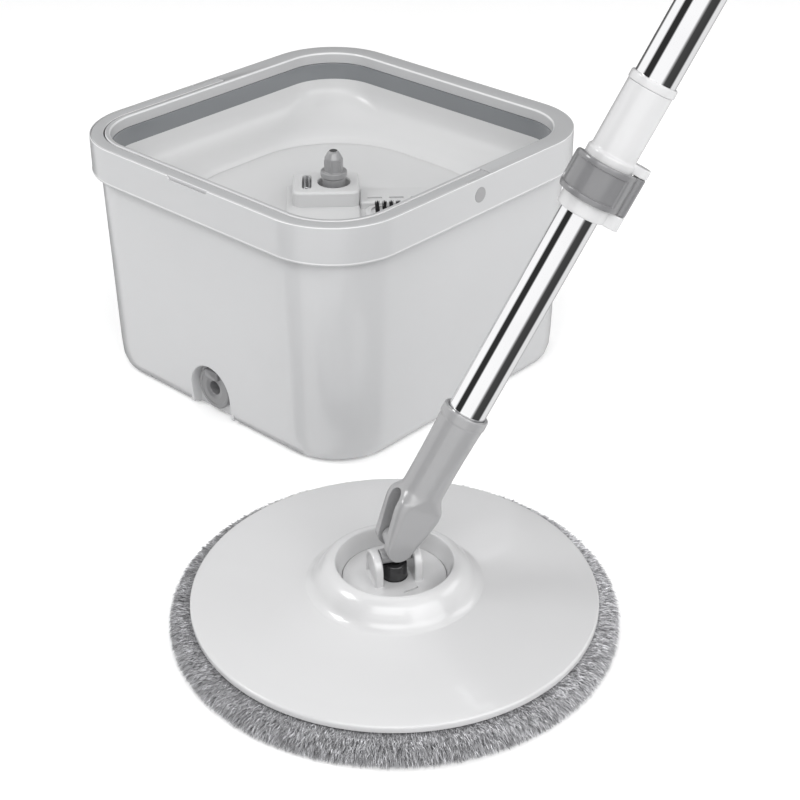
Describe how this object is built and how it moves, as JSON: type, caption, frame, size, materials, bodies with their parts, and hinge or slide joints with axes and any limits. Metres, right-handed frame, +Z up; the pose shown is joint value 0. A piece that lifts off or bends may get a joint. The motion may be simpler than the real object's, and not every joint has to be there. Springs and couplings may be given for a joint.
{
  "type": "spin mop with bucket",
  "caption": "Square spin mop bucket with a wash tub, spin post, drain plug and fold-down carrying handle, and a round flat mop head on a jointed telescopic pole.",
  "frame": {"origin": "the point on the floor under the middle of the bucket, which is also the axis of the spin post", "axes": "+Z up; the drain plug faces -Y; the carrying handle's pivots lie along X; the mop stands at +X, -Y"},
  "size_m": [0.6308, 0.531, 0.8801],
  "materials": {
    "white_shell": "injection-moulded white, semi-gloss",
    "white_head": "injection-moulded white, satin gloss",
    "grey_plastic": "injection-moulded mid grey, satin",
    "trim_grey": "glossy blue-grey band",
    "black_plastic": "black, glossy",
    "bearing_plastic": "natural low-friction plastic",
    "chromed_tube": "polished tube, 0.6 to 0.8 mm wall",
    "steel": "plain steel pins and screws",
    "soft_rubber": "soft rubber",
    "grip_rubber": "grey ribbed soft grip",
    "bristle_nylon": "black nylon bristles",
    "hook_tape": "hook tape",
    "microfibre": "grey microfibre pile",
    "nut_brass": "machined brass"
  },
  "bodies": {
    "bucket": {"outer_bucket": "white_shell", "rim_frame": "white_shell", "trim_ring": "trim_grey", "wash_tub": "white_shell", "post_housing": "white_shell", "channel_cover": "white_shell", "brush_frame": "white_shell", "brush_bristles": "bristle_nylon", "post_bush": "bearing_plastic", "housing_screws": "steel", "handle_pins": "grey_plastic", "anti_slip_feet": "soft_rubber"},
    "bail_handle": {"bail_handle": "white_shell"},
    "drain_plug": {"drain_plug": "grey_plastic", "drain_seal": "soft_rubber"},
    "spin_post": {"spin_post": "grey_plastic", "post_shaft": "steel", "shaft_clip": "steel"},
    "press_roller": {"press_roller": "steel"},
    "yoke_base": {"swivel_disc": "white_head", "ear_pin": "steel", "retainer_ring": "bearing_plastic"},
    "mop_plate": {"mop_plate": "white_head", "under_cover": "white_head", "cover_screws": "steel", "spin_hub": "black_plastic", "hook_rings": "hook_tape", "mop_pad": "microfibre"},
    "knuckle": {"knuckle": "grey_plastic"},
    "lower_pole": {"fork_socket": "grey_plastic", "fork_pin": "steel", "lower_tube": "chromed_tube", "tube_rivet": "steel", "nut_housing": "bearing_plastic"},
    "drive_nut": {"drive_nut": "nut_brass"},
    "upper_pole": {"upper_tube": "chromed_tube", "clamp_sleeve": "white_head", "sleeve_ring": "white_head", "brake_shoe": "soft_rubber", "lever_pin": "steel", "drive_rod": "steel", "rod_plug": "bearing_plastic", "hand_grip": "grip_rubber", "end_cap": "grey_plastic"},
    "clamp_lever": {"clamp_lever": "grey_plastic"}
  },
  "joints": [
    {"name": "handle_lift", "type": "hinge", "parent": "bucket", "child": "bail_handle", "pos_m": [0, 0, 0.173], "axis": [-1, 0, 0], "range_deg": [0, 90]},
    {"name": "plug_pull", "type": "slide", "parent": "bucket", "child": "drain_plug", "axis": [0, -1, 0], "range_m": [0, 0.03]},
    {"name": "post_spin", "type": "hinge", "parent": "bucket", "child": "spin_post", "pos_m": [0, 0, 0.15], "axis": [0, 0, 1], "continuous": true},
    {"name": "roller_spin", "type": "hinge", "parent": "bucket", "child": "press_roller", "pos_m": [-0.01414, -0.01414, 0.1398], "axis": [-0.7071, 0.7071, 0], "continuous": true},
    {"name": "mop_lift", "type": "slide", "parent": "bucket", "child": "yoke_base", "axis": [0, 0, 1], "range_m": [0, 0.3]},
    {"name": "head_spin", "type": "hinge", "parent": "yoke_base", "child": "mop_plate", "pos_m": [0.259, -0.215, 0.026], "axis": [0, 0, 1], "continuous": true},
    {"name": "yoke_pitch", "type": "hinge", "parent": "yoke_base", "child": "knuckle", "pos_m": [0.259, -0.215, 0.046], "axis": [0.5, 0.866, 0], "range_deg": [-28, 28]},
    {"name": "pole_tilt", "type": "hinge", "parent": "knuckle", "child": "lower_pole", "pos_m": [0.259, -0.215, 0.057], "axis": [-0.866, 0.5, 0], "range_deg": [-92.6, 35.4]},
    {"name": "pole_slide", "type": "slide", "parent": "lower_pole", "child": "upper_pole", "axis": [0.2393, 0.4146, 0.878], "range_m": [-0.12, 0.28]},
    {"name": "nut_turn", "type": "hinge", "parent": "lower_pole", "child": "drive_nut", "pos_m": [0.42415, 0.07105, 0.66281], "axis": [0.2393, 0.4146, 0.878], "range_deg": [-360, 840]},
    {"name": "lever_flip", "type": "hinge", "parent": "upper_pole", "child": "clamp_lever", "pos_m": [0.33326, -0.10594, 0.26431], "axis": [0.2393, 0.4146, 0.878], "range_deg": [0, 110]}
  ],
  "couplings": [
    {"joint": "nut_turn", "follows": "pole_slide", "rad_per_m": 52.36}
  ]
}
